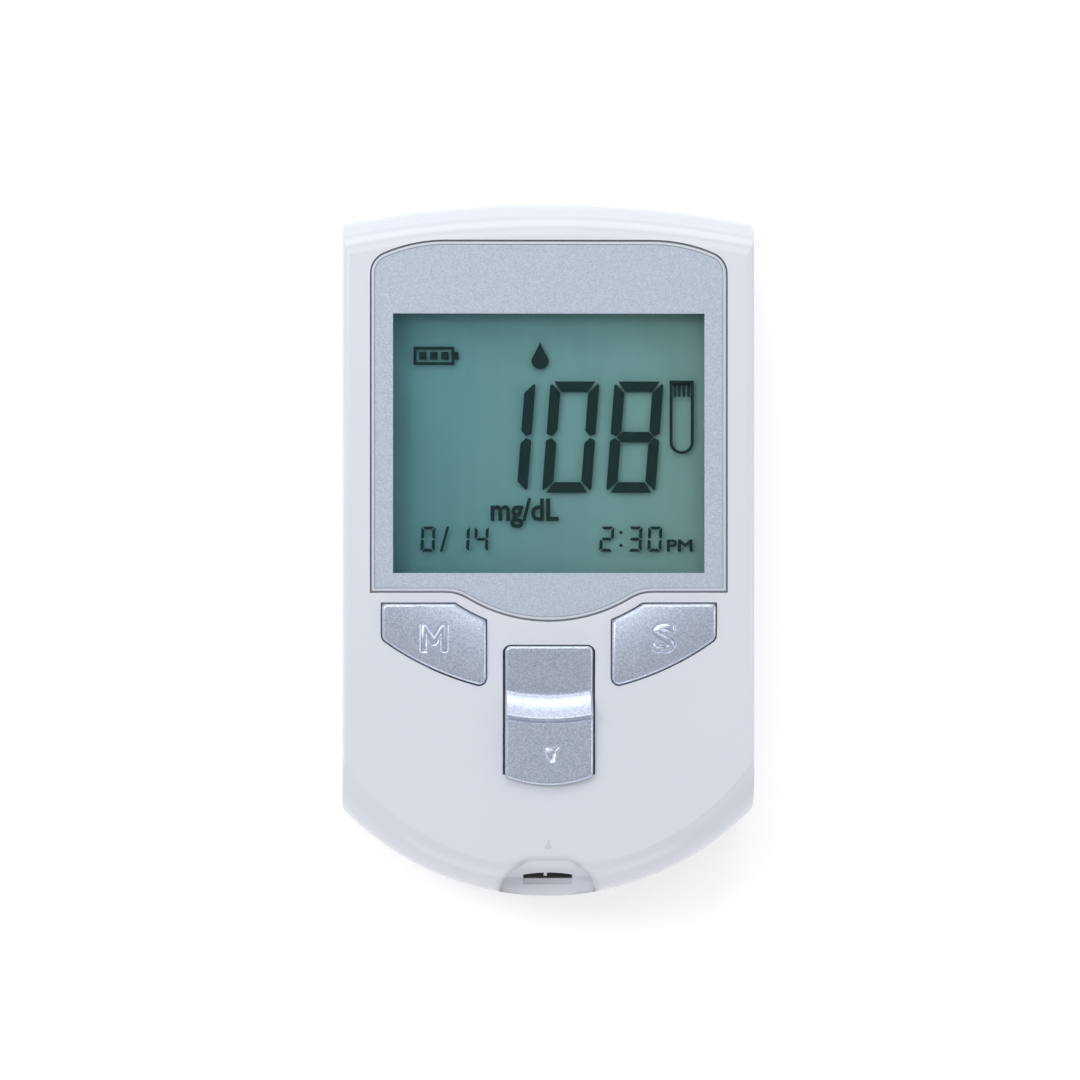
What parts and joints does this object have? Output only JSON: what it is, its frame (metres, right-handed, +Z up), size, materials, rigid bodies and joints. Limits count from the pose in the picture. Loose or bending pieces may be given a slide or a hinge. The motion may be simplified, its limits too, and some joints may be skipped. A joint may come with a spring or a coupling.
{
  "type": "uric acid meter",
  "caption": "Hand-held blood test meter with a display window, two keys, a sliding strip ejector, a strip port at the rounded end and a tilting battery door",
  "frame": {"origin": "on the table under the middle of the case, with the meter lying on its rubber feet", "axes": "+Z up out of the display, +Y toward the top end of the display, +X to the right of the display"},
  "size_m": [0.058, 0.0978, 0.0239],
  "materials": {
    "white_shell": "gloss moulded",
    "silver_paint": "silver metallic paint with fine sparkle",
    "clear_lens": "clear polished",
    "display_glass": "green-grey reflective display",
    "dark_plastic": "matt",
    "dark_rubber": "matt",
    "board": "satin lacquer",
    "pale_plastic": "satin",
    "pale_rubber": "matt",
    "steel": "bright nickel",
    "gilt": "gold plated",
    "chip_ceramic": "matt",
    "battery_sleeve": "printed sleeve without lettering"
  },
  "bodies": {
    "case": {"front_housing": "white_shell", "rear_housing": "white_shell", "display_lens": "clear_lens", "bezel_film": "silver_paint", "display_frame": "dark_plastic", "lcd_front_glass": "display_glass", "lcd_rear_glass": "display_glass", "lcd_connector": "dark_rubber", "display_pad": "dark_rubber", "main_board": "board", "m_switch": "dark_plastic", "s_switch": "dark_plastic", "ejector_spring": "steel", "strip_connector": "dark_plastic", "strip_contacts": "gilt", "microcontroller": "dark_plastic", "memory_chip": "dark_plastic", "crystal": "steel", "chip_capacitors": "chip_ceramic", "buzzer": "dark_plastic", "upper_battery": "battery_sleeve", "lower_battery": "battery_sleeve", "bridge_contact": "steel", "positive_contact": "steel", "negative_contact": "steel", "case_screws": "steel", "board_screws": "steel", "rubber_feet": "pale_rubber"},
    "m_key": {"m_button": "silver_paint"},
    "s_key": {"s_button": "silver_paint"},
    "ejector": {"ejector_slider": "silver_paint", "ejector_carriage": "pale_plastic"},
    "door": {"battery_door": "white_shell"}
  },
  "joints": [
    {"name": "m_key_press", "type": "slide", "parent": "case", "child": "m_key", "axis": [0, 0, -1], "range_m": [0, 0.0005], "stiffness_N_per_m": 600, "springref_m": -0.0005},
    {"name": "s_key_press", "type": "slide", "parent": "case", "child": "s_key", "axis": [0, 0, -1], "range_m": [0, 0.0005], "stiffness_N_per_m": 600, "springref_m": -0.0005},
    {"name": "strip_eject", "type": "slide", "parent": "case", "child": "ejector", "axis": [0, -1, 0], "range_m": [0, 0.005], "stiffness_N_per_m": 290, "springref_m": -0.003, "deforming": ["ejector_spring"]},
    {"name": "battery_door_tilt", "type": "hinge", "parent": "case", "child": "door", "pos_m": [0, 0.00395, 0.0006], "axis": [-1, 0, 0], "range_deg": [0, 60]}
  ]
}
